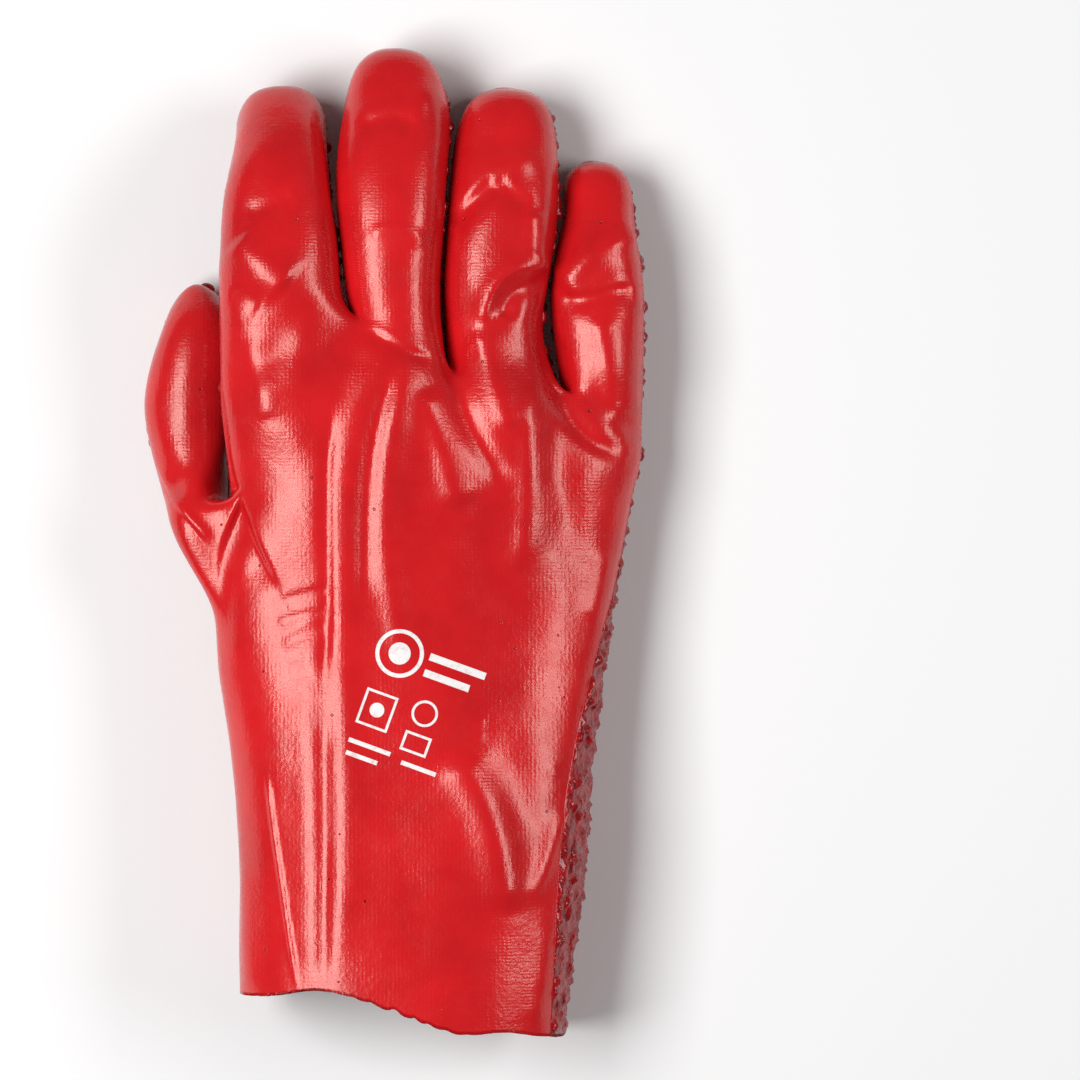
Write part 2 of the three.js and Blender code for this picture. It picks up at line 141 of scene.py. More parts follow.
SECTION_POWER = 2.3  # of the superellipse that a section follows: 2 is an ellipse
COLUMNS = 20  # round the hand: 0 to 8 over the back, 9 little side, 10 to 18 palm, 19 index side
LITTLE_SIDE = 9
INDEX_SIDE = 19
THUMB_ROW = 6  # the thumb leaves the hand between this row and the second after it

BODY_ROWS = rows(
    "along shift wide deep under roll wrap knuckle",
    (0, 0.019, 0.01, 0, 0, 0, 24, 0),
    (0.085, 0.027, 0.08, 0, 0, 0, 28, 0),
    (0.19, 0.039, 0.18, 0.04, 0, 0, 32, 0),
    (0.3, 0.043, 0.29, 0.12, 0, 0, 33, 0),
    (0.41, 0.039, 0.41, 0.26, 0, 1, 29, 0),
    (0.51, 0.038, 0.59, 0.45, 0.01, 2, 24, 0),
    (0.6, 0.042, 0.74, 0.64, 0.04, 3.5, 18, 0),
    (0.695, 0.055, 0.86, 0.8, 0.1, 5, 10, 0),
    (0.785, 0.09, 0.78, 0.92, 0.16, 7, 4, 0),
    (0.785, 0.094, 0.91, 1, 0.21, 8, 0, 0.36),
    (0.785, 0.092, 1, 1.12, 0.25, 9, 0, 0.7),
    (0.785, 0.092, 1, 1.4, 0.3, 9, 0, 1),
)

ROOTS = rows(
    "across along",
    (-0.92, 0.99),
    (-0.68, 1.03),
    (-0.394, 1.05),
    (-0.165, 1.015),
    (0.062, 0.975),
    (0.334, 0.965),
    (0.616, 0.945),
    (0.79, 0.93),
    (0.94, 0.905),
)
WEBS = (1.069, 0.989, 0.945)  # the gaps between the fingers start here, along the body
ROOT_VALLEY = 0.24  # how much thinner the hand is between two finger roots

EDGE_WAVES = rows("across run rise", (-0.14, 0.13, 0.045), (0.02, 0.05, 0.012), (0.13, 0.07, -0.02))
EDGE_FADE = 0.25


@dataclass(frozen=True)
class Digit:
    """A finger or the thumb: its own sizes in millimetres, its root and its rings."""

    name: str
    length: float
    width: float
    thickness: float
    root_across: float
    root_along: float
    rings: list[dict[str, float]]


RING_COLUMNS = "along across lift wide deep turn"

DIGITS = (
    Digit("index", 66.8, 33, 27, -0.264, 1.03, rows(
        RING_COLUMNS,
        (0.19, 0, 1.02, 1.02, 1.06, 0),
        (0.35, -0.012, 1, 0.975, 1.02, 1),
        (0.52, -0.024, 0.88, 0.91, 0.98, 0),
        (0.68, -0.014, 0.64, 0.82, 0.95, -1),
        (0.82, -0.004, 0.31, 0.75, 0.92, -1),
        (0.94, 0, 0.02, 0.64, 0.78, 0),
        (1, 0.04, 0, 0, 0, 0),
    )),
    Digit("middle", 82, 30, 27, 0.001, 1.017, rows(
        RING_COLUMNS,
        (0.155, 0, 1.03, 0.865, 1.06, 0),
        (0.32, -0.015, 1.05, 0.93, 1.02, 1),
        (0.48, -0.023, 1, 0.995, 0.99, 0),
        (0.64, -0.003, 0.8, 1.01, 0.96, -2),
        (0.78, 0.028, 0.5, 0.965, 0.93, -2),
        (0.885, 0.017, 0.18, 0.8, 0.88, 2),
        (0.96, 0.01, 0, 0.48, 0.58, 0),
        (1, 0.035, 0.02, 0, 0, 0),
    )),
    Digit("ring", 79.3, 30, 26, 0.24, 0.972, rows(
        RING_COLUMNS,
        (0.12, 0, 1.03, 0.91, 1.05, 0),
        (0.3, 0, 1.07, 0.95, 1.02, -1),
        (0.48, 0.047, 1.02, 1, 0.99, -3),
        (0.63, 0.08, 0.84, 1, 0.96, -2),
        (0.78, 0.093, 0.52, 0.95, 0.92, -1),
        (0.885, 0.107, 0.19, 0.82, 0.87, 0),
        (0.96, 0.107, 0, 0.55, 0.6, 0),
        (1, 0.08, 0.02, 0, 0, 0),
    )),
    Digit("little", 66.3, 25.5, 23, 0.483, 0.933, rows(
        RING_COLUMNS,
        (0.14, 0.03, 1.03, 0.93, 1.08, 0),
        (0.31, 0.004, 1.07, 0.99, 1.04, 0),
        (0.47, -0.008, 1.03, 1, 1, 0),
        (0.63, 0, 0.82, 0.88, 0.97, -1),
        (0.77, 0.008, 0.52, 0.765, 0.93, 0),
        (0.88, -0.012, 0.19, 0.72, 0.88, 4),
        (0.96, -0.06, 0, 0.48, 0.62, 8),
        (1, -0.11, 0.02, 0, 0, 8),
    )),
    Digit("thumb", 74.7, 26, 24, -0.405, 0.7, rows(
        RING_COLUMNS,
        (0.088, -0.14, 0.74, 0.72, 1.04, 52),
        (0.22, -0.25, 0.36, 0.72, 1.02, 30),
        (0.36, -0.315, 0.18, 0.82, 1, 9),
        (0.518, -0.34, 0.08, 0.98, 1, 0),
        (0.669, -0.304, 0.04, 0.94, 0.98, -4),
        (0.81, -0.242, 0, 0.81, 0.93, -5),
        (0.925, -0.258, 0, 0.54, 0.7, 0),
        (1, -0.285, 0, 0, 0, 0),
    )),
)


@dataclass
class GloveCage:
    """The coarse cage of the whole glove. All sizes are in millimetres."""

    body_length: float = 180
    hand_width: float = 116
    hand_thickness: float = 39
    cuff_width: float = 88
    cuff_height: float = 54
    pressed_flat: float = 1.6
    edge_slant: float = 0.13
    origin_y: float = 129.76  # from the cuff's own zero to the middle of the footprint
    origin_x: float = 0.1
    fit_rounds: int = 8
    bm: bmesh.types.BMesh = field(default_factory=bmesh.new)

    def body_place(self, row: dict[str, float]) -> dict[str, Any]:
        """Centre, directions and half sizes of the hand at a row of its table."""
        thickness = mix(self.cuff_height, self.hand_thickness, min(row["deep"], 1))
        thickness *= 1 - 0.4 * max(0, row["deep"] - 1)
        roll = math.radians(row["roll"])
        under = row["under"] * self.hand_thickness - self.pressed_flat
        return {
            "centre": Vector((row["shift"] * self.hand_width, 0, under + thickness / 2)),
            "across": Vector((math.cos(roll), 0, -math.sin(roll))),
            "up": Vector((math.sin(roll), 0, math.cos(roll))),
            "half_width": mix(self.cuff_width, self.hand_width, row["wide"]) / 2,
            "half_depth": thickness / 2,
        }

    def column_angle(self, column: int, wrap: float) -> float:
        """Angle in degrees at which a column lies, from the little-finger side over the back."""
        if column == INDEX_SIDE:
            return 180
        if column <= LITTLE_SIDE:
            return wrap + (180 - wrap) * (LITTLE_SIDE - column) / 10
        return 360 + wrap - (180 + wrap) * (column - LITTLE_SIDE) / 10

    def edge_wave(self, x: float) -> float:
        """How far the cuff's cut edge runs up at a place across the hand."""
        total = 0.0
        for wave in EDGE_WAVES:
            off = (x - wave["across"] * self.hand_width) / (wave["run"] * self.hand_width)
            total += wave["rise"] * self.hand_width * math.exp(-off * off)
        return total

    def body_point(self, row: dict[str, float], column: int) -> Vector:
        """Place that the surface passes through at a row and column of the hand."""
        place = self.body_place(row)
        angle = math.radians(self.column_angle(column, row["wrap"]))
        back = column if column <= 8 else 18 - column
        on_rim = column in (LITTLE_SIDE, INDEX_SIDE)
        across = signed_power(math.cos(angle), 2 / SECTION_POWER)
        if not on_rim:
            across = mix(across, ROOTS[back]["across"], row["knuckle"] ** 0.6)
        height = max(0.0, 1 - abs(across) ** SECTION_POWER) ** (1 / SECTION_POWER)
        border = not on_rim and back in (2, 4, 6)
        valley = 1 - ROOT_VALLEY * row["knuckle"] ** 2 if border else 1
        up = 0.0 if column == INDEX_SIDE else math.copysign(height * valley, math.sin(angle))
        if abs(math.sin(angle)) < 1e-9:
            up = 0.0
        point = place["centre"] + place["across"] * across * place["half_width"]
        point = point + place["up"] * up * place["half_depth"]
        nearest = {LITTLE_SIDE: 8, INDEX_SIDE: 0}.get(column, back)
        straight = row["along"] * self.body_length
        straight -= (point.x - place["centre"].x) * self.edge_slant * (1 - row["along"])
        point.y = mix(straight, ROOTS[nearest]["along"] * self.body_length, row["knuckle"])
        point.y += self.edge_wave(point.x) * (1 - float(smoothstep(row["along"], 0, EDGE_FADE)))
        return point

    def digit_rings(self, digit: Digit) -> list[list[Vector]]:
        """Places of a digit's rings of eight points; the last entry holds its tip alone."""
        root_x = digit.root_across * self.hand_width
        hand = self.body_place(BODY_ROWS[THUMB_ROW + 1 if digit.name == "thumb" else -1])
        root_z = hand["centre"].z
        root_z += (root_x - hand["centre"].x) / hand["across"].x * hand["across"].z
        centres, half_depths = [], []
        for ring in digit.rings:
            half_depth = digit.thickness * (ring["deep"] or 0.8) / 2
            resting = half_depth - self.pressed_flat * 0.75
            half_depths.append(half_depth)
            centres.append(Vector((
                root_x + ring["across"] * digit.width,
                digit.root_along * self.body_length + ring["along"] * digit.length,
                mix(resting, root_z, ring["lift"]),
            )))
        rings = []
        for i, ring in enumerate(digit.rings[:-1]):
            rise = centres[i + 1] - centres[max(i - 1, 0)]
            slope = math.atan2(rise.z, math.hypot(rise.x, rise.y))
            heading = math.radians(ring["turn"])
            across = Vector((math.cos(heading), math.sin(heading), 0))
            ahead = Vector((-math.sin(heading), math.cos(heading), 0))
            up = ahead * -math.sin(slope) + Vector((0, 0, math.cos(slope)))
            half_width = digit.width * ring["wide"] / 2
            points = []
            for degrees in (135, 90, 45, 0, -45, -90, -135, 180):
                angle = math.radians(degrees)
                aside = signed_power(math.cos(angle), 2 / SECTION_POWER) if degrees % 180 != 90 else 0.0
                above = signed_power(math.sin(angle), 2 / SECTION_POWER) if degrees % 180 else 0.0
                if degrees in (90, -90):
                    aside = 0.0
                points.append(centres[i] + across * half_width * aside + up * half_depths[i] * above)
            rings.append(points)
        rings.append([centres[-1]])
        return rings

    def grow(self, ring: Sequence[Any], places: Sequence[Vector], sides: Sequence[Side]) -> list[Any]:
        """Extrudes a closed ring of vertices and moves the new ring to its places.

        Args:
            ring: Vertices in order, each joined to the next and the last to the first.
            places: Where the new vertices go.
            sides: Label of the face between each vertex and the next.

        Returns:
            The new ring.
        """
        count = len(ring)
        edges = []
        for i in range(count):
            pair = {ring[i], ring[(i + 1) % count]}
            edges.append(next(e for e in ring[i].link_edges if set(e.verts) == pair))
        made = bmesh.ops.extrude_edge_only(self.bm, edges=edges)["geom"]
        fresh = {item for item in made if isinstance(item, bmesh.types.BMVert)}
        grown = [next(e.other_vert(v) for e in v.link_edges if e.other_vert(v) in fresh) for v in ring]
        for vertex, place in zip(grown, places):
            vertex.co = place
        for i, side in enumerate(sides):
            corners = {ring[i], ring[(i + 1) % count], grown[i]}
            face = next(f for f in grown[i].link_faces if corners <= set(f.verts))
            face.material_index = side
        return grown

    def grow_digit(self, digit: Digit, socket: Sequence[Any]) -> None:
        """Grows a digit ring by ring from its socket and closes its tip."""
        thumb = digit.name == "thumb"
        back = Side.THUMB_BACK if thumb else Side.BACK
        palm = Side.THUMB_PALM if thumb else Side.PALM
        ring = list(socket)
        places = self.digit_rings(digit)
        for ring_places in places[:-1]:
            ring = self.grow(ring, ring_places, (back, back, back, palm, palm, palm, palm, back))
        tip = self.bm.verts.new(places[-1][0])
        for start, side in ((7, back), (1, back), (3, palm), (5, palm)):
            corners = [ring[(start + k) % 8] for k in range(3)]
            self.bm.faces.new([*corners, tip]).material_index = side

    def build(self) -> bmesh.types.BMesh:
        """Grows the hand from the cuff edge, then the fingers and the thumb.

        Returns:
            The cage, shifted so that its rounded surface passes through the tables' places.
        """
        first = [self.body_point(BODY_ROWS[0], column) for column in range(COLUMNS)]
        made = bmesh.ops.create_circle(self.bm, segments=COLUMNS, radius=1)
        ring = list(made["verts"])
        for vertex, place in zip(ring, first):
            vertex.co = place
        sides = [Side.BACK if c < LITTLE_SIDE or c == INDEX_SIDE else Side.PALM for c in range(COLUMNS)]
        grid = [ring]
        for row in BODY_ROWS[1:]:
            places = [self.body_point(row, column) for column in range(COLUMNS)]
            ring = self.grow(ring, places, sides)
            grid.append(ring)

        low, mid, high = grid[THUMB_ROW : THUMB_ROW + 3]
        bmesh.ops.delete(self.bm, geom=[mid[INDEX_SIDE]], context="VERTS")
        thumb_socket = [low[0], mid[0], high[0], high[19], high[18], mid[18], low[18], low[19]]
        self.grow_digit(DIGITS[4], thumb_socket)

        last = grid[-1]
        webs = []
        for i, along in enumerate(WEBS):
            top, bottom = last[2 * i + 2], last[16 - 2 * i]
            middle = (top.co + bottom.co) / 2
            web = self.bm.verts.new((middle.x, along * self.body_length, middle.z))
            self.bm.edges.new((top, web))
            self.bm.edges.new((web, bottom))
            webs.append(web)
        for i, digit in enumerate(DIGITS[:4]):
            over = [last[2 * i + k] for k in range(3)]
            under = [last[16 - 2 * i + k] for k in range(3)]
            right = webs[i] if i < 3 else last[LITTLE_SIDE]
            left = webs[i - 1] if i else last[INDEX_SIDE]
            self.grow_digit(digit, [*over, right, *under, left])

        bmesh.ops.recalc_face_normals(self.bm, faces=self.bm.faces[:])
        top_face = max(self.bm.faces, key=lambda f: f.calc_center_median().z)
        if top_face.normal.z < 0:
            bmesh.ops.reverse_faces(self.bm, faces=self.bm.faces[:])
        self.pull_onto_places()
        shift = Matrix.Translation((-self.origin_x, -self.origin_y, 0))
        bmesh.ops.transform(self.bm, matrix=Matrix.Scale(MM, 4) @ shift, verts=self.bm.verts[:])
        return self.bm

    def pull_onto_places(self) -> None:
        """Shifts the cage until the limit of its subdivision passes through its present points."""
        targets = [v.co.copy() for v in self.bm.verts]
        for _ in range(self.fit_rounds):
            limits = [self.limit_place(v) for v in self.bm.verts]
            for vertex, target, limit in zip(self.bm.verts, targets, limits):
                vertex.co += target - limit

    @staticmethod
    def limit_place(vertex: Any) -> Vector:
        """Where endless Catmull-Clark subdivision takes a vertex of the cage."""
        rim = [e.other_vert(vertex).co for e in vertex.link_edges if e.is_boundary]
        if rim:
            return (vertex.co * 4 + rim[0] + rim[1]) / 6
        count = len(vertex.link_edges)
        near = [e.other_vert(vertex) for e in vertex.link_edges]
        total = vertex.co * count * count
        for other in near:
            total += other.co * 4
        for face in vertex.link_faces:
            total += next(v.co for v in face.verts if v is not vertex and v not in near)
        return total / (count * (count + 5))


# Folds of the smooth coat, in millimetres in plan, seen from above


@dataclass(frozen=True)
class Fold:
    """A ridge, or with a height below 0 a crease, along a path in plan.

    lean above 1 makes its left side, seen along the path, broad and its right side steep.
    """

    name: str
    width: float
    height: float
    path: tuple[tuple[float, float], ...]
    lean: float = 1.0
    thumb: bool = False

    def covers(self, plan: np.ndarray) -> np.ndarray:
        """Says which points in plan are near enough to be moved."""
        reach = 3 * self.width * max(self.lean, 1 / self.lean)
        path = np.array(self.path)
        return np.all((plan > path.min(axis=0) - reach) & (plan < path.max(axis=0) + reach), axis=1)


@dataclass(frozen=True)
class Swell:
    """A rounded patch that stands proud, or with a height below 0 sinks in."""

    name: str
    x: float
    y: float
    long: float
    short: float
    turn: float
    height: float
    thumb: bool = False

    def covers(self, plan: np.ndarray) -> np.ndarray:
        """Says which points in plan are near enough to be moved."""
        return np.hypot(plan[:, 0] - self.x, plan[:, 1] - self.y) < 3 * max(self.long, self.short)


FOLDS = (
    # the hand, from its thumb side to its little-finger side
    Fold("thumb_side_step", 3, -2.4, (
        (-48.6, 45), (-47, 32), (-45, 17), (-40.5, 4), (-36, -6), (-31, -14)), 0.4),
    Fold("thenar_edge", 1.5, -0.7, (
        (-16, 36), (-17.6, 20), (-17.6, 0), (-17.2, -18), (-18.5, -40)), 0.8),
    Fold("long_band_left", 4, 0.75, (
        (-2.5, 54), (-6.5, 45), (-11, 33), (-12.6, 18), (-13, -2), (-13.6, -22),
        (-13, -50.7), (-12.3, -72), (-13.5, -95), (-14.5, -124)), 1.1),
    Fold("between_bands", 2.4, -0.8, ((1, 48), (-4.2, 32), (-7.2, 14), (-7.6, -18))),
    Fold("long_band_right", 3.6, 0.8, (
        (5, 49), (1.8, 36), (-1.4, 21.4), (-2.2, 2), (0.4, -20), (3.8, -36)), 1.2),
    Fold("third_band", 4.6, 1.5, ((8.5, 42), (12.8, 28), (18.5, 8)), 1.3),
    Fold("cuff_band_left", 4, 0.3, ((-23, -34), (-23.6, -60), (-23.4, -90), (-22.1, -124)), 1.3),
    Fold("cuff_band_valley", 2.1, -0.55, ((-19, -46), (-18.2, -80), (-18.6, -122))),
    Fold("cuff_pinch", 0.7, 0.6, ((-34.4, -62), (-31, -88), (-25.6, -122))),
    Fold("cuff_side_ridge", 2.6, 0.7, ((-41.5, -88), (-40.6, -108), (-38, -124))),
    Fold("wrist_diagonal", 6, 2.2, ((16, -57), (27.5, -76), (32, -102))),
    Fold("wrist_diagonal_hollow", 5, -0.4, ((30, -50), (36, -72), (38, -90))),
    Fold("cuff_right_ridge", 2.4, 0.7, ((47, -72), (41, -90), (36.5, -98))),
    Fold("cuff_right_low", 3, 0.4, ((42.5, -104), (40, -120), (38, -132))),
    Fold("hand_ridge_right", 4, 1.2, ((37.9, 44.4), (37.2, 24.7), (37, 11), (35.2, -9)), 1.3),
    Fold("side_ridge", 3, 0.7, ((58.6, -2.3), (54, -22.5))),
    # small wrinkles below the thumb
    Fold("wrinkle_1", 1.3, -0.35, ((-31, -16.5), (-24, -14.2), (-17.5, -13)), 0.6),
    Fold("wrinkle_2", 1.4, -0.4, ((-32, -22.4), (-25, -19.8), (-17.8, -19.4)), 0.6),
    Fold("wrinkle_3", 1.7, -0.4, ((-30.5, -28.8), (-25, -25.2), (-17.5, -23)), 0.7),
    Fold("wrinkle_4", 1.2, -0.22, ((-29, -32.6), (-23, -31)), 0.7),
    Fold("wrinkle_5", 1.6, -0.2, ((-28.5, -37.5), (-22, -35)), 0.7),
    # middle finger
    Fold("middle_knuckle", 1.6, -0.8, ((-6.7, 57.2), (0.5, 53.4), (6.8, 50.6), (11.2, 49.8)), 0.6),
    Fold("middle_joint", 2, 0.5, ((-6.5, 83), (-1, 85), (6, 84), (8.5, 79)), 0.8),
    Fold("middle_dent", 2.6, -0.9, ((-9.4, 113.2), (1.4, 116.4), (7.2, 112.1)), 0.7),
    # index finger
    Fold("index_dent", 2.6, -0.6, ((-40, 88.7), (-33.2, 91), (-27, 94.5)), 0.8),
    Fold("index_band", 5.5, 1.6, ((-43, 82), (-36.8, 76), (-27.8, 68.4)), 1.1),
    Fold("index_band_hollow", 3.4, -0.9, ((-44, 68), (-36, 63))),
    Fold("index_root_ridge", 3.5, 0.8, ((-38.5, 56), (-36.1, 44), (-34, 32)), 1.2),
    # ring finger
    Fold("ring_arch", 2.2, 1.5, (
        (24.6, 58), (26, 66), (30.2, 72.3), (36, 74.9), (44, 74.6)), 1.5),
    Fold("ring_arch_hollow", 2.6, -1.5, ((29.6, 60), (33, 68.2), (43, 70.2)), 0.9),
    Fold("ring_tuck_left", 2.4, -1.3, ((14.7, 86), (20, 91.5), (28, 99)), 0.6),
    Fold("ring_tuck_right", 2.2, -0.9, ((28, 99), (34, 93.5), (38, 92)), 0.7),
    Fold("ring_shoulder", 3.5, 1, ((38, 90), (39, 80), (37, 76)), 1.2),
    Fold("ring_root_valley", 3, -1.3, (
        (14.5, 51.2), (18, 42.7), (20.4, 32.9), (26.1, 22.8), (31.2, 14.1))),
    Fold("ring_root_ridge", 4.2, 1.3, ((23.2, 58.5), (27, 43.8), (33.4, 29)), 1.3),
    # little finger
    Fold("little_root_valley", 2.8, -1.4, ((42, 58.9), (45.4, 40), (51.5, 29), (64, 22.2))),
    Fold("little_band", 4.2, 1.5, ((45.1, 68.7), (53.8, 78), (68.3, 84.5)), 1.2),
    Fold("little_crease", 2.6, -1.3, ((44, 66), (52, 65.6), (60, 68), (67, 69)), 0.7),
    Fold("little_side_ridge", 4, 1.1, ((56, 62.5), (59.4, 46.5), (61.3, 31.9)), 1.4),
    # thumb and the rim beside it
    Fold("thumb_fold", 1, 0.8, (
        (-65, 20.6), (-60.1, 11.6), (-56.5, 7), (-52.1, 2.3), (-49.7, -1)), 1.8, True),
    Fold("wrist_rim", 1.1, 0.8, (
        (-47.8, 11), (-49.1, 2.9), (-49.7, -1.2), (-50, -8.3), (-49.6, -18.4)), 0.6),
)

SWELLS = (
    Swell("thenar_patch", -24, 14, 30, 9, 98, 0.9),
    Swell("index_knuckle", -23.2, 55, 7, 5, 60, 0.9),
    Swell("index_tip_patch", -36, 104.5, 8, 5, 60, 1.1),
    Swell("middle_tip_knob", 8.7, 121, 4, 3.4, 80, 1.1),
    Swell("ring_dull_dent", 28, 109.5, 7, 4, 10, -0.9),
    Swell("ring_tip_patch", 35, 103.5, 5, 3.5, 20, 1),
    Swell("hand_hollow", 25, 0, 26, 8, 95, -1),
    Swell("side_hollow", 47, 12, 26, 5, 100, -0.9),
    Swell("cuff_hollow_mid", 3, -96, 30, 8, 95, -0.5),
    Swell("small_lump_high", 23.8, -49.8, 1.2, 1.2, 0, 0.5),
    Swell("small_lump_low", 23.8, -53.4, 1.3, 1.1, 0, 0.5),
    Swell("small_lump_side", 43.7, -63, 1.2, 1.2, 0, 0.4),
    Swell("small_lump_end", 16, -122, 1, 1, 0, 0.3),
    Swell("thumb_nail_patch", -56, 46, 14, 6, 92, 0.6, True),
    Swell("thumb_base_dent", -60, 16, 6, 4, 110, -0.8, True),
)


@dataclass
class CoatSculptor:
    """Works out how far each point of the rounded surface stands proud, in millimetres."""

    taper: float = 0.16  # share of a fold's length over which it dies out at each end
    waviness: tuple[tuple[float, float], ...] = ((22.0, 0.28), (8.0, 0.1), (3.0, 0.03))
    scallop_pitch: float = 5.2
    scallop_height: float = 1.5
    scallop_reach: float = 5.0
    scallop_middle: float = 5.0  # across the cuff, where its cut is the most ragged
    scallop_spread: float = 11.0
    crumb_pitch: float = 2.7  # the rough coat's droplets, middle to middle
    crumb_height: float = 1.5
    crumb_stretch: float = 0.75

    def fold_height(self, fold: Fold, plan: np.ndarray) -> np.ndarray:
        """Height of one fold over points in plan.

        Args:
            fold: The fold.
            plan: One x and y for each point, in millimetres.

        Returns:
            One height for each point.
        """
        path = rounded_path(fold.path)
        steps = np.diff(path, axis=0)
        lengths = np.linalg.norm(steps, axis=1)
        starts = np.concatenate([[0], np.cumsum(lengths)[:-1]])
        nearest = np.full(len(plan), 1e9)
        signed = np.zeros(len(plan))
        along = np.zeros(len(plan))
        for start, step, length, before in zip(path[:-1], steps, lengths, starts):
            offset = plan - start
            t = np.clip((offset @ step) / length**2, 0, 1)
            gap = offset - t[:, None] * step
            distance = np.hypot(gap[:, 0], gap[:, 1])
            closer = distance < nearest
            nearest[closer] = distance[closer]
            left = step[0] * offset[:, 1] - step[1] * offset[:, 0]
            signed[closer] = np.where(left[closer] > 0, distance[closer], -distance[closer])
            along[closer] = (before + t * length)[closer]
        width = np.where(signed > 0, fold.width * fold.lean, fold.width / fold.lean)
        share = along / lengths.sum()
        ends = smoothstep(share, 0, self.taper) * (1 - smoothstep(share, 1 - self.taper, 1))
        return fold.height * (0.15 + 0.85 * ends) * np.exp(-((nearest / width) ** 2))

    def swell_height(self, swell: Swell, plan: np.ndarray) -> np.ndarray:
        """Height of one rounded patch over points in plan, in millimetres."""
        turn = math.radians(swell.turn)
        dx, dy = plan[:, 0] - swell.x, plan[:, 1] - swell.y
        down = (dx * math.cos(turn) + dy * math.sin(turn)) / swell.long
        aside = (dy * math.cos(turn) - dx * math.sin(turn)) / swell.short
        return swell.height * np.exp(-down * down - aside * aside)

    def smooth_height(self, places: np.ndarray, normals: np.ndarray, thumb: np.ndarray) -> np.ndarray:
        """Height of the folds and the coat's own waviness.

        Args:
            places: Points of the surface, in millimetres.
            normals: Outward directions there.
            thumb: 1 on the thumb, 0 on the hand, between them in between.

        Returns:
            One height for each point.
        """
        plan = places[:, :2]
        facing = smoothstep(normals[:, 2], 0.05, 0.6)
        total = np.zeros(len(places))
        for form in (*FOLDS, *SWELLS):
            near = np.flatnonzero(form.covers(plan))
            own = thumb[near] if form.thumb else 1 - thumb[near]
            height = self.fold_height if isinstance(form, Fold) else self.swell_height
            total[near] += own * height(form, plan[near])
        total *= facing
        for pitch, height in self.waviness:
            values = [noise.noise(Vector(p) / pitch) for p in places]
            total += height * np.array(values)
        return total

    def crumb_height_at(self, place: Sequence[float], normal: Sequence[float]) -> float:
        """Height of the rough coat's droplets at one point, in millimetres."""
        x, y, z = place
        cover = float(smoothstep(-normal[2] + 1.3 * max(0.0, normal[0]), 0.05, 0.35))
        wander = noise.noise_vector(Vector((x, y, z)) / 5.0) * 0.35
        spot = Vector((x * self.crumb_stretch, y, z)) / self.crumb_pitch + wander
        distances, points = noise.voronoi(spot)
        size = 0.55 + 0.45 * noise.cell(points[0] * 7.3)
        dome = max(0.0, 1 - (distances[0] / (0.34 + 0.3 * size)) ** 2)
        grain = 0.12 * noise.noise(Vector(place) / 0.9)
        return cover * self.crumb_height * (dome**0.6 * size + grain)

    def scallops(self, places: np.ndarray, rim_distance: np.ndarray) -> np.ndarray:
        """How far the cut edge's small waves move points along the cuff, in millimetres."""
        wave = []
        for x, _, z in places:
            turn = x / self.scallop_pitch * math.pi + 1.5 * noise.noise(Vector((x, z, 7)) / 9)
            size = 0.1 + math.exp(-(((x - self.scallop_middle) / self.scallop_spread) ** 2))
            size *= 0.75 + 0.9 * noise.noise(Vector((x, z, 31)) / 7)
            wave.append(size * (0.6 - abs(math.sin(turn)) ** 0.8))
        return self.scallop_height * np.array(wave) * (1 - smoothstep(rim_distance, 0, self.scallop_reach))


# Finishes


def add_node(tree: Any, kind: str, settings: dict[str, Any], links: dict[str, Any] | None = None) -> Any:
    """Adds a shader node, sets it and links its inputs.

    Args:
        tree: The material's node tree.
        kind: The node's type, such as ShaderNodeTexNoise.
        settings: Values by input name, or by property name with a leading dot.
        links: Output sockets by input name.

    Returns:
        The node.
    """
    node = tree.nodes.new(kind)
    for name, value in settings.items():
        if name.startswith("."):
            setattr(node, name[1:], value)
    for name, value in settings.items():
        if not name.startswith("."):
            node.inputs[name].default_value = value
    for name, socket in (links or {}).items():
        tree.links.new(socket, node.inputs[name])
    return node


def ramp(tree: Any, factor: Any, stops: Iterable[tuple[float, tuple[float, ...]]]) -> Any:
    """Adds a colour ramp.

    Args:
        tree: The material's node tree.
        factor: The socket that drives it.
        stops: Places and colours.

    Returns:
        Its colour socket.
    """
    node = tree.nodes.new("ShaderNodeValToRGB")
    elements = node.color_ramp.elements
    for i, (place, colour) in enumerate(stops):
        element = elements[i] if i < 2 else elements.new(place)
        element.position = place
        element.color = colour
    tree.links.new(factor, node.inputs["Fac"])
    return node.outputs["Color"]


def per_metre(size_mm: float) -> float:
    """A noise or cell texture's scale for a pattern of that size, on Object coordinates."""
    return 1 / (size_mm * MM)


def start_material(name: str) -> tuple[bpy.types.Material, Any, Any, Any]:
    """Makes a new finish: the material, its node tree, its shader and Object coordinates."""
    material = bpy.data.materials.new(name)
    material.use_nodes = True
    tree = material.node_tree
    place = add_node(tree, "ShaderNodeTexCoord", {}).outputs["Object"]
    return material, tree, tree.nodes["Principled BSDF"], place


def grain(tree: Any, place: Any, size_mm: float, detail: float, roughness: float = 0.5) -> Any:
    """Adds noise of that grain and returns its factor socket."""
    settings = {"Scale": per_metre(size_mm), "Detail": detail, "Roughness": roughness}
    return add_node(tree, "ShaderNodeTexNoise", settings, {"Vector": place}).outputs["Fac"]


def bands(tree: Any, place: Any, axis: str, pitch_mm: float, waver: float, scale: float = 1.0) -> Any:
    """Adds wavering bands of that pitch and returns their factor socket."""
    turn = math.tau / 20  # a wave texture turns 20 radians in one unit
    settings = {".wave_type": "BANDS", ".bands_direction": axis, "Scale": turn / (pitch_mm * MM),
                "Distortion": waver, "Detail": 2.0, "Detail Scale": scale}
    return add_node(tree, "ShaderNodeTexWave", settings, {"Vector": place}).outputs["Fac"]


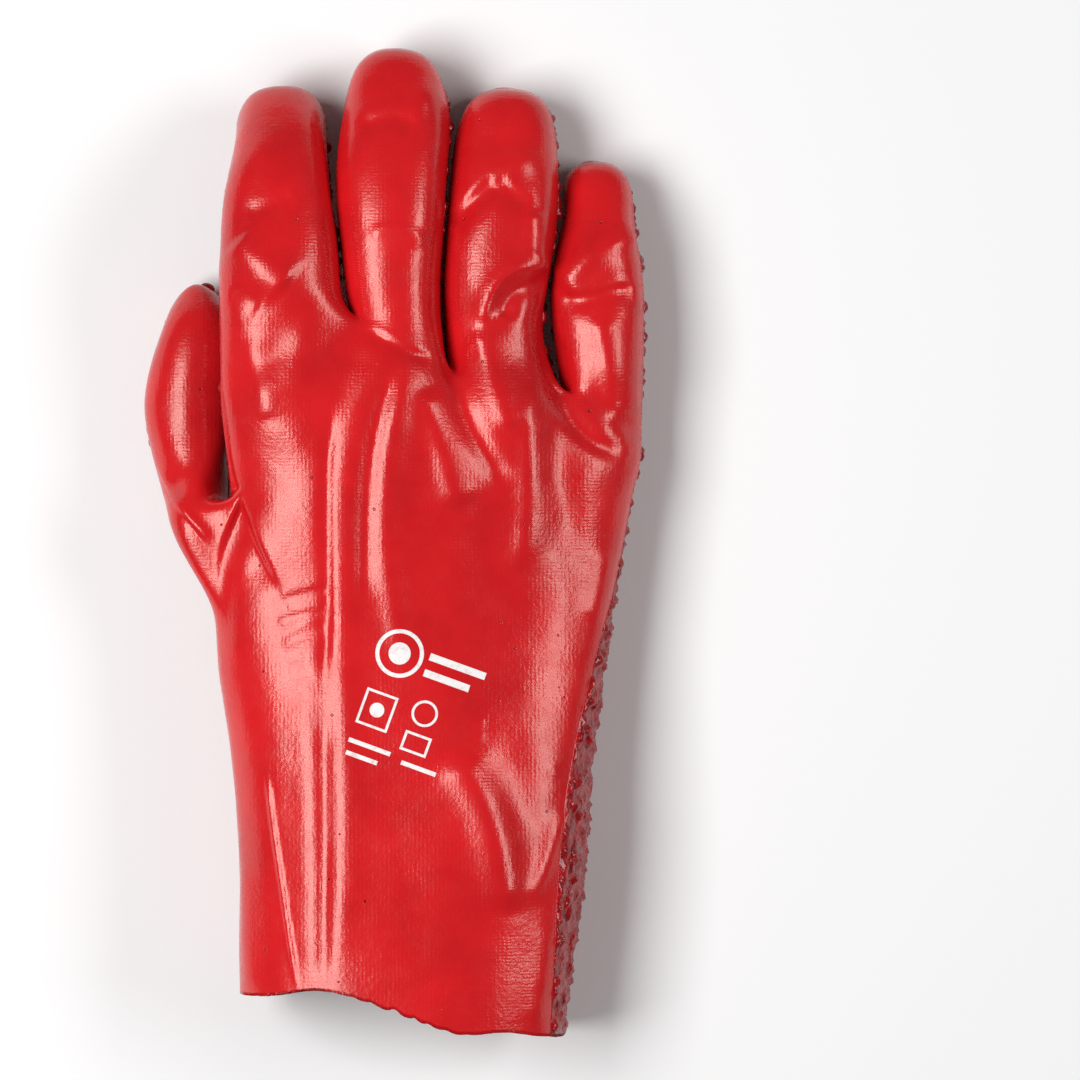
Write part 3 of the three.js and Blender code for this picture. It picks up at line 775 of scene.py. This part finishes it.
def bump(tree: Any, height: Any, strength: float, depth_mm: float, under: Any = None) -> Any:
    """Adds relief, on top of other relief if given, and returns its normal socket."""
    links = {"Height": height} if under is None else {"Height": height, "Normal": under}
    settings = {"Strength": strength, "Distance": depth_mm * MM}
    return add_node(tree, "ShaderNodeBump", settings, links).outputs["Normal"]


@dataclass(frozen=True)
class SmoothCoat:
    """Plasticised PVC, dipped once over knitted cotton: wet-looking, with the knit showing and painted shade
    in its pinholes.
    """

    name: str = "smooth_pvc_coat"
    red: str = "#D51A20"
    deep_red: str = "#C0141B"
    # dark red painted into the pinholes, as shade in the pits
    pinhole_shade: str = "#6E0A0E"
    ior: float = 1.53
    roughness: float = 0.22
    knit_pitch: float = 1.1  # real wales are nearer 0.9 mm; drawn a little coarser to show
    peel_size: float = 1.1
    mottle_size: float = 26.0
    dulling_size: float = 7.0
    patch_size: float = 6.0  # the knit shows through in patches
    pinhole_pitch: float = 8.5
    highlight: str = "#FFF0E6"

    def build(self) -> bpy.types.Material:
        """Makes the material."""
        material, tree, shader, place = start_material(self.name)
        mottle = grain(tree, place, self.mottle_size, 4.0, 0.6)
        colour = ramp(tree, mottle, ((0.3, linear(self.deep_red)), (0.62, linear(self.red))))
        # Pinholes: small pits pressed in by the bump below, each with painted shade inside
        pinholes = add_node(tree, "ShaderNodeTexVoronoi",
                            {"Scale": per_metre(self.pinhole_pitch), "Randomness": 1.0}, {"Vector": place})
        spot = ramp(tree, pinholes.outputs["Distance"],
                    ((0.028, (1, 1, 1, 1)), (0.052, (0, 0, 0, 1))))
        pinhole_shaded = add_node(tree, "ShaderNodeMix", {".data_type": "RGBA", "B": linear(self.pinhole_shade)},
                            {"Factor": spot, "A": colour})
        tree.links.new(pinhole_shaded.outputs["Result"], shader.inputs["Base Color"])
        shader.inputs["IOR"].default_value = self.ior
        shader.inputs["Specular Tint"].default_value = linear(self.highlight)
        dulling = grain(tree, place, self.dulling_size, 5.0, 0.65)
        roughness = add_node(tree, "ShaderNodeMapRange",
                             {"From Min": 0.3, "From Max": 0.7, "To Min": self.roughness - 0.04,
                              "To Max": self.roughness + 0.07}, {"Value": dulling})
        tree.links.new(roughness.outputs["Result"], shader.inputs["Roughness"])

        knit = add_node(tree, "ShaderNodeMath", {".operation": "ADD"})
        tree.links.new(bands(tree, place, "X", self.knit_pitch, 1.6, 1.2), knit.inputs[0])
        tree.links.new(bands(tree, place, "Y", self.knit_pitch * 0.8, 2.2, 1.1), knit.inputs[1])
        patchy = add_node(tree, "ShaderNodeMapRange",
                          {"From Min": 0.4, "From Max": 0.65, "To Min": 0.15, "To Max": 1.0},
                          {"Value": grain(tree, place, self.patch_size, 2.0)})
        relief = add_node(tree, "ShaderNodeMath", {".operation": "MULTIPLY"})
        tree.links.new(knit.outputs[0], relief.inputs[0])
        tree.links.new(patchy.outputs["Result"], relief.inputs[1])
        normal = bump(tree, relief.outputs[0], 0.14, 0.12)
        normal = bump(tree, grain(tree, place, self.peel_size, 3.0, 0.55), 0.3, 0.3, normal)
        normal = bump(tree, spot, 0.6, -0.4, normal)
        tree.links.new(normal, shader.inputs["Normal"])
        return material


@dataclass(frozen=True)
class RoughCoat:
    """The second PVC dip with droplets strewn in it: deeper red, glossy on every crumb."""

    name: str = "rough_pvc_coat"
    red: str = "#AE1118"
    deep_red: str = "#7E080F"
    ior: float = 1.53
    roughness: float = 0.17
    mottle_size: float = 3.2
    crumb_size: float = 1.3
    grain_size: float = 0.7

    def build(self) -> bpy.types.Material:
        """Makes the material."""
        material, tree, shader, place = start_material(self.name)
        mottle = grain(tree, place, self.mottle_size, 5.0, 0.7)
        colour = ramp(tree, mottle, ((0.35, linear(self.deep_red)), (0.62, linear(self.red))))
        tree.links.new(colour, shader.inputs["Base Color"])
        shader.inputs["IOR"].default_value = self.ior
        shader.inputs["Roughness"].default_value = self.roughness
        shader.inputs["Specular IOR Level"].default_value = 0.4
        cells = add_node(tree, "ShaderNodeTexVoronoi",
                         {".feature": "SMOOTH_F1", "Scale": per_metre(self.crumb_size),
                          "Smoothness": 0.3, "Randomness": 1.0}, {"Vector": place})
        height = ramp(tree, cells.outputs["Distance"], ((0.0, (1, 1, 1, 1)), (0.55, (0, 0, 0, 1))))
        normal = bump(tree, height, 0.5, 0.3)
        normal = bump(tree, grain(tree, place, self.grain_size, 3.0), 0.3, 0.12, normal)
        tree.links.new(normal, shader.inputs["Normal"])
        return material


@dataclass(frozen=True)
class InnerFace:
    """The knitted cotton behind the coat, stained by it: matt, with fine ribs along the hand."""

    name: str = "knit_inner_face"
    cotton: str = "#A8343A"
    shade: str = "#7A1E24"
    rib_pitch: float = 1.3

    def build(self) -> bpy.types.Material:
        """Makes the material."""
        material, tree, shader, place = start_material(self.name)
        ribs = bands(tree, place, "X", self.rib_pitch, 1.0)
        # the ribs' grooves are painted darker, as shade between the ribs
        colour = ramp(tree, ribs, ((0.1, linear(self.shade)), (0.8, linear(self.cotton))))
        tree.links.new(colour, shader.inputs["Base Color"])
        shader.inputs["Roughness"].default_value = 0.85
        shader.inputs["Sheen Weight"].default_value = 0.3
        tree.links.new(bump(tree, ribs, 0.5, 0.3), shader.inputs["Normal"])
        return material


@dataclass(frozen=True)
class ScreenInk:
    """White screen ink on the coat: flat, thin, a little worn."""

    name: str = "white_screen_ink"
    white: str = "#F4F1F0"
    worn: str = "#E3C9C8"
    wear_size: float = 1.6

    def build(self) -> bpy.types.Material:
        """Makes the material."""
        material, tree, shader, place = start_material(self.name)
        wear = grain(tree, place, self.wear_size, 4.0, 0.7)
        colour = ramp(tree, wear, ((0.3, linear(self.worn)), (0.5, linear(self.white))))
        tree.links.new(colour, shader.inputs["Base Color"])
        shader.inputs["Roughness"].default_value = 0.35
        return material


@dataclass(frozen=True)
class PaperFloor:
    """Matt white background paper."""

    name: str = "white_paper_floor"
    white: str = "#F7F7F7"

    def build(self) -> bpy.types.Material:
        """Makes the material."""
        material, _, shader, _ = start_material(self.name)
        shader.inputs["Base Color"].default_value = linear(self.white)
        shader.inputs["Roughness"].default_value = 0.9
        shader.inputs["Specular IOR Level"].default_value = 0.1
        return material


# The glove


def new_piece(name: str, mesh: bpy.types.Mesh) -> bpy.types.Object:
    """Puts a mesh into the scene as an object at the origin."""
    mesh.name = name
    piece = bpy.data.objects.new(name, mesh)
    bpy.context.scene.collection.objects.link(piece)
    return piece


def settled_mesh(name: str, bm: Any) -> bpy.types.Mesh:
    """Copies a bmesh with its faces in one order, so that each run rounds it off alike.

    Args:
        name: Name of the new mesh.
        bm: The bmesh, whose vertices are in the same order in each run.

    Returns:
        The mesh.
    """
    bm.verts.index_update()
    faces = []
    for face in bm.faces:
        corners = [v.index for v in face.verts]
        first = corners.index(min(corners))
        faces.append((corners[first:] + corners[:first], face.material_index))
    faces.sort()
    mesh = bpy.data.meshes.new(name)
    mesh.from_pydata([v.co for v in bm.verts], [], [corners for corners, _ in faces])
    mesh.polygons.foreach_set("material_index", [side for _, side in faces])
    return mesh


def vectors_of(mesh: bpy.types.Mesh, name: str) -> np.ndarray:
    """Reads the places or normals of a mesh's vertices, one row for each."""
    values = np.empty(len(mesh.vertices) * 3)
    mesh.vertices.foreach_get(name, values)
    return values.reshape(-1, 3)


def coat_faces(bm: Any) -> list[Any]:
    """The faces of a shell's outside."""
    return [face for face in bm.faces if face.material_index == 0]


@dataclass
class GloveShell:
    """The glove's two closed shells, made from one rounded cage."""

    cage: GloveCage = field(default_factory=GloveCage)
    sculptor: CoatSculptor = field(default_factory=CoatSculptor)
    wall: float = 1.5
    coarse_levels: int = 3
    fine_levels: int = 4
    seam_clearance: float = 0.03
    floor_softness: float = 0.35
    hollow_rounds: int = 3
    seed: int = 5  # without one, each run would wander in another way
    coarse: bpy.types.Mesh = None
    plain: np.ndarray = None
    normals: np.ndarray = None
    formed: dict[Side, np.ndarray] = None
    inner: np.ndarray = None
    tree: KDTree = None

    def rounded(self, source: bpy.types.Object, levels: int) -> bpy.types.Mesh:
        """The cage after some levels of subdivision, as a mesh of its own."""
        modifier = source.modifiers.new("rounding", "SUBSURF")
        modifier.levels = modifier.render_levels = levels
        modifier.boundary_smooth = "ALL"
        graph = bpy.context.evaluated_depsgraph_get()
        mesh = bpy.data.meshes.new_from_object(source.evaluated_get(graph))
        source.modifiers.remove(modifier)
        return mesh

    def prepare(self) -> None:
        """Rounds the cage off and works out where its folds and crumbs take each point."""
        noise.seed_set(self.seed)
        cage_mesh = settled_mesh("cage", self.cage.build())
        self.cage.bm.free()
        cage_object = new_piece("cage", cage_mesh)
        self.coarse = self.rounded(cage_object, self.coarse_levels)
        fine = self.rounded(cage_object, self.fine_levels)
        bpy.data.objects.remove(cage_object)
        bpy.data.meshes.remove(cage_mesh)

        count = len(fine.vertices)
        self.plain = vectors_of(fine, "co") / MM
        self.normals = vectors_of(fine, "normal")
        self.tree = KDTree(count)
        for i, place in enumerate(self.plain):
            self.tree.insert(place, i)
        self.tree.balance()

        thumb, palm, seen = np.zeros(count), np.zeros(count), np.zeros(count)
        for polygon in fine.polygons:
            corners = list(polygon.vertices)
            seen[corners] += 1
            thumb[corners] += polygon.material_index >= Side.THUMB_BACK
            palm[corners] += polygon.material_index % 2
        thumb /= seen
        palm /= seen
        rim = self.rim_distance(fine)
        heights = self.sculptor.smooth_height(self.plain, self.normals, thumb)
        back = self.plain + self.normals * heights[:, None]
        crumbs = np.zeros(count)
        for i in np.flatnonzero(palm >= 0.99):
            crumbs[i] = self.sculptor.crumb_height_at(self.plain[i], self.normals[i])
        rough = back + self.normals * crumbs[:, None]
        shift = self.sculptor.scallops(self.plain, rim)
        back[:, 1] += shift
        rough[:, 1] += shift
        self.formed = {Side.BACK: self.rest(back, 0.0), Side.PALM: self.rest(rough, 0.0)}
        ends = np.array([edge.vertices[:] for edge in fine.edges])
        low = heights.copy()  # lowest nearby, so that the inside stays below sharp hollows
        for _ in range(self.hollow_rounds):
            lowest = np.minimum(low[ends[:, 0]], low[ends[:, 1]])
            np.minimum.at(low, ends[:, 0], lowest)
            np.minimum.at(low, ends[:, 1], lowest)
        inner = self.plain + self.normals * (low - self.wall)[:, None]
        inner[:, 1] += shift.max() * (1 - smoothstep(rim, 0, self.sculptor.scallop_reach))
        self.inner = self.rest(inner, self.wall)
        bpy.data.meshes.remove(fine)

    def rim_distance(self, fine: bpy.types.Mesh) -> np.ndarray:
        """Distance of each point from the cuff's cut edge, in millimetres."""
        bm = bmesh.new()
        bm.from_mesh(fine)
        edge = KDTree(len(bm.verts))
        for vertex in bm.verts:
            if vertex.is_boundary:
                edge.insert(vertex.co / MM, vertex.index)
        edge.balance()
        bm.free()
        return np.array([edge.find(place)[2] for place in self.plain])

    def rest(self, places: np.ndarray, floor: float) -> np.ndarray:
        """Presses points flat, softly, where they would be below the floor."""
        pressed = places.copy()
        above = (places[:, 2] - floor) / self.floor_softness
        pressed[:, 2] = floor + self.floor_softness * np.logaddexp(0, np.clip(above, -40, 40))
        high = above > 12
        pressed[high, 2] = places[high, 2]
        return pressed

    def shell(self, name: str, side: Side, outer: bpy.types.Material, inner: bpy.types.Material) -> Any:
        """Makes one side of the glove as a closed shell.

        Args:
            name: The piece's name.
            side: BACK or PALM.
            outer: Finish of the coat.
            inner: Finish of the inside.

        Returns:
            The piece.
        """
        bm = bmesh.new()
        bm.from_mesh(self.coarse)
        away = [f for f in bm.faces if f.material_index % 2 != side]
        bmesh.ops.delete(bm, geom=away, context="FACES")
        made = bmesh.ops.extrude_face_region(bm, geom=bm.faces[:], use_keep_orig=True)["geom"]
        for item in made:
            if isinstance(item, bmesh.types.BMVert):
                item.co = Vector(self.inner[self.tree.find(item.co / MM)[1]]) * MM
        new_faces = {item for item in made if isinstance(item, bmesh.types.BMFace)}
        for face in bm.faces:
            face.material_index = 1 if face in new_faces else 0
            face.smooth = True
        edges = list(dict.fromkeys(e for f in coat_faces(bm) for e in f.edges))
        bmesh.ops.subdivide_edges(bm, edges=edges, cuts=1, use_grid_fill=True)
        formed = self.formed[side]
        outer_verts = {v for f in coat_faces(bm) for v in f.verts}
        for vertex in outer_verts:
            vertex.co = Vector(formed[self.tree.find(vertex.co / MM)[1]]) * MM
        bmesh.ops.recalc_face_normals(bm, faces=bm.faces[:])
        if bm.calc_volume(signed=True) < 0:
            bmesh.ops.reverse_faces(bm, faces=bm.faces[:])
        mesh = bpy.data.meshes.new(name)
        bm.to_mesh(mesh)
        bm.free()
        mesh.materials.append(outer)
        mesh.materials.append(inner)
        return new_piece(name, mesh)

    def build(self) -> list[bpy.types.Object]:
        """Makes both shells."""
        self.prepare()
        inner = InnerFace().build()
        back = self.shell("smooth_coat_back", Side.BACK, SmoothCoat().build(), inner)
        palm = self.shell("rough_coat_palm", Side.PALM, RoughCoat().build(), inner)
        bpy.data.meshes.remove(self.coarse)
        back_nodes = ["smooth_back", *(f"{digit.name}_back" for digit in DIGITS)]
        palm_nodes = ["rough_palm", *(f"{digit.name}_palm" for digit in DIGITS)]
        for piece, nodes, slot in ((back, back_nodes, "smooth_pvc"), (palm, palm_nodes, "rough_pvc")):
            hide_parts(*nodes)
            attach(piece, "root")
            log.info("%s: %d faces", piece.name, len(piece.data.polygons))
        return [back, palm]


# The plain printed mark


class Mark(Enum):
    """Forms in the printed mark."""

    RING = "ring"
    DISC = "disc"
    BAR = "bar"
    FRAME = "frame"


@dataclass
class PrintedMark:
    """A plain white mark on the wrist: a ring, frames and bars, printed flat on the coat."""

    centre: tuple[float, float] = (3.0, -47.0)
    turn: float = -20.0
    lift: float = 0.12
    grain: float = 0.9  # longest edge of the mark's faces, so that it follows the coat
    forms: tuple[tuple[Mark, float, float, float, float, float], ...] = (
        (Mark.RING, -6.5, 15.0, 6.6, 6.6, 1.1),
        (Mark.DISC, -6.5, 15.0, 3.0, 3.0, 0),
        (Mark.BAR, 9.5, 17.0, 16.0, 2.0, 0),
        (Mark.BAR, 8.0, 12.4, 13.0, 2.0, 0),
        (Mark.FRAME, -7.0, -1.5, 9.0, 10.0, 0.7),
        (Mark.DISC, -7.0, -1.5, 2.0, 2.0, 0),
        (Mark.RING, 5.5, 2.0, 3.6, 3.6, 0.7),
        (Mark.FRAME, 6.0, -6.5, 7.5, 5.5, 0.7),
        (Mark.BAR, -5.5, -11.5, 12.0, 1.2, 0),
        (Mark.BAR, 9.0, -12.5, 10.0, 1.2, 0),
        (Mark.BAR, -6.5, -15.0, 9.0, 1.2, 0),
    )

    def outline(self, bm: Any, form: Mark, x: float, y: float, wide: float, tall: float, line: float) -> None:
        """Adds one form, flat, in millimetres."""
        before = set(bm.verts)
        if form in (Mark.RING, Mark.DISC):
            made = bmesh.ops.create_circle(bm, cap_ends=True, segments=40, radius=wide)
        else:
            made = bmesh.ops.create_grid(bm, x_segments=1, y_segments=1, size=0.5)
            bmesh.ops.scale(bm, vec=(wide, tall, 1), verts=made["verts"])
        faces = list({f for v in made["verts"] for f in v.link_faces})
        if line:
            bmesh.ops.inset_region(bm, faces=faces, thickness=line, use_boundary=True, use_even_offset=True)
            bmesh.ops.delete(bm, geom=[f for f in faces if f.is_valid], context="FACES")
        fresh = [v for v in bm.verts if v not in before]
        bmesh.ops.translate(bm, vec=(x, y, 0), verts=fresh)

    def build(self, coat: bpy.types.Object) -> bpy.types.Object:
        """Lays the mark on the coat.

        Args:
            coat: The piece that it is printed on.

        Returns:
            The mark.
        """
        bm = bmesh.new()
        for form in self.forms:
            self.outline(bm, *form)
        bmesh.ops.triangulate(bm, faces=bm.faces[:])
        for _ in range(5):
            long_edges = [e for e in bm.edges if e.calc_length() > self.grain]
            if long_edges:
                bmesh.ops.subdivide_edges(bm, edges=long_edges, cuts=1)
                bmesh.ops.triangulate(bm, faces=bm.faces[:])
        turn = Matrix.Rotation(math.radians(self.turn), 4, "Z")
        move = Matrix.Translation((*self.centre, 0))
        bmesh.ops.transform(bm, matrix=Matrix.Scale(MM, 4) @ move @ turn, verts=bm.verts[:])
        surface = BVHTree.FromPolygons([v.co for v in coat.data.vertices],
                                       [tuple(p.vertices) for p in coat.data.polygons])
        for vertex in bm.verts:
            above = Vector((vertex.co.x, vertex.co.y, 0.2))
            place, normal, _, _ = surface.ray_cast(above, Vector((0, 0, -1)))
            vertex.co = place + normal * self.lift * MM
        for face in bm.faces:
            face.smooth = True
            if face.normal.z < 0:
                face.normal_flip()
        mesh = bpy.data.meshes.new("printed_mark")
        bm.to_mesh(mesh)
        bm.free()
        mesh.materials.append(ScreenInk().build())
        mark = new_piece("printed_mark", mesh)
        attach(mark, "root")
        heights = [vertex.co.z / MM for vertex in mesh.vertices]
        log.info("%s: %d faces, %.1f to %.1f mm up", mark.name, len(mesh.polygons), min(heights), max(heights))
        return mark


# The studio


@dataclass(frozen=True)
class Softbox:
    """An area light that looks at a point near the glove: its size along the glove, then across it."""

    name: str
    place: tuple[float, float, float]
    aim: tuple[float, float, float]
    along: float
    across: float
    power: float


@dataclass
class Studio:
    """White floor, soft light and a camera straight above, as for a catalogue picture."""

    pixel: float = 0.273  # millimetres of the glove's plan in one pixel of the photo
    frame_pixels: int = 1080
    centre_x: float = 40.1  # of the frame, in millimetres from the glove's middle
    centre_y: float = 0.1
    camera_height: float = 2.4
    sensor: float = 36.0
    mid_height: float = 30.0
    floor_half: float = 3.0  # in metres
    air_light: float = 0.1
    softboxes: tuple[Softbox, ...] = (
        Softbox("left_window", (-0.62, 0.0, 1.02), (0.0, 0.0, 0.02), 0.8, 0.55, 14.0),
        Softbox("right_window", (0.95, 0.15, 0.8), (0.0, 0.0, 0.02), 0.7, 0.34, 5.5),
    )

    def build(self) -> None:
        """Sets up the floor, the lights and the camera."""
        bm = bmesh.new()
        bmesh.ops.create_grid(bm, x_segments=1, y_segments=1, size=self.floor_half)
        mesh = bpy.data.meshes.new("paper_floor")
        bm.to_mesh(mesh)
        bm.free()
        mesh.materials.append(PaperFloor().build())
        floor = new_piece("paper_floor", mesh)

        world = bpy.data.worlds.new("studio_air")
        world.use_nodes = True
        world.node_tree.nodes["Background"].inputs["Color"].default_value = linear("#FFFFFF")
        world.node_tree.nodes["Background"].inputs["Strength"].default_value = self.air_light
        bpy.context.scene.world = world

        for box in self.softboxes:
            light = bpy.data.lights.new(box.name, "AREA")
            light.shape = "RECTANGLE"
            light.size, light.size_y = box.along, box.across
            light.energy = box.power
            lamp = bpy.data.objects.new(box.name, light)
            lamp.location = box.place
            lamp.rotation_euler = (Vector(box.aim) - Vector(box.place)).to_track_quat("-Z", "Y").to_euler()
            bpy.context.scene.collection.objects.link(lamp)

        data = bpy.data.cameras.new("overhead_camera")
        data.sensor_width = self.sensor
        field_width = self.pixel * self.frame_pixels * MM
        data.lens = self.sensor * (self.camera_height - self.mid_height * MM) / field_width
        data.clip_end = 20
        camera = bpy.data.objects.new("overhead_camera", data)
        camera.location = (self.centre_x * MM, self.centre_y * MM, self.camera_height)
        bpy.context.scene.collection.objects.link(camera)
        bpy.context.scene.camera = camera
        bpy.context.scene.view_settings.view_transform = "Standard"
        log.info("studio ready")


def main() -> None:
    """Builds the studio, the glove and its mark."""
    Studio().build()
    back, _ = GloveShell().build()
    PrintedMark().build(back)


if __name__ == "__main__":
    main()
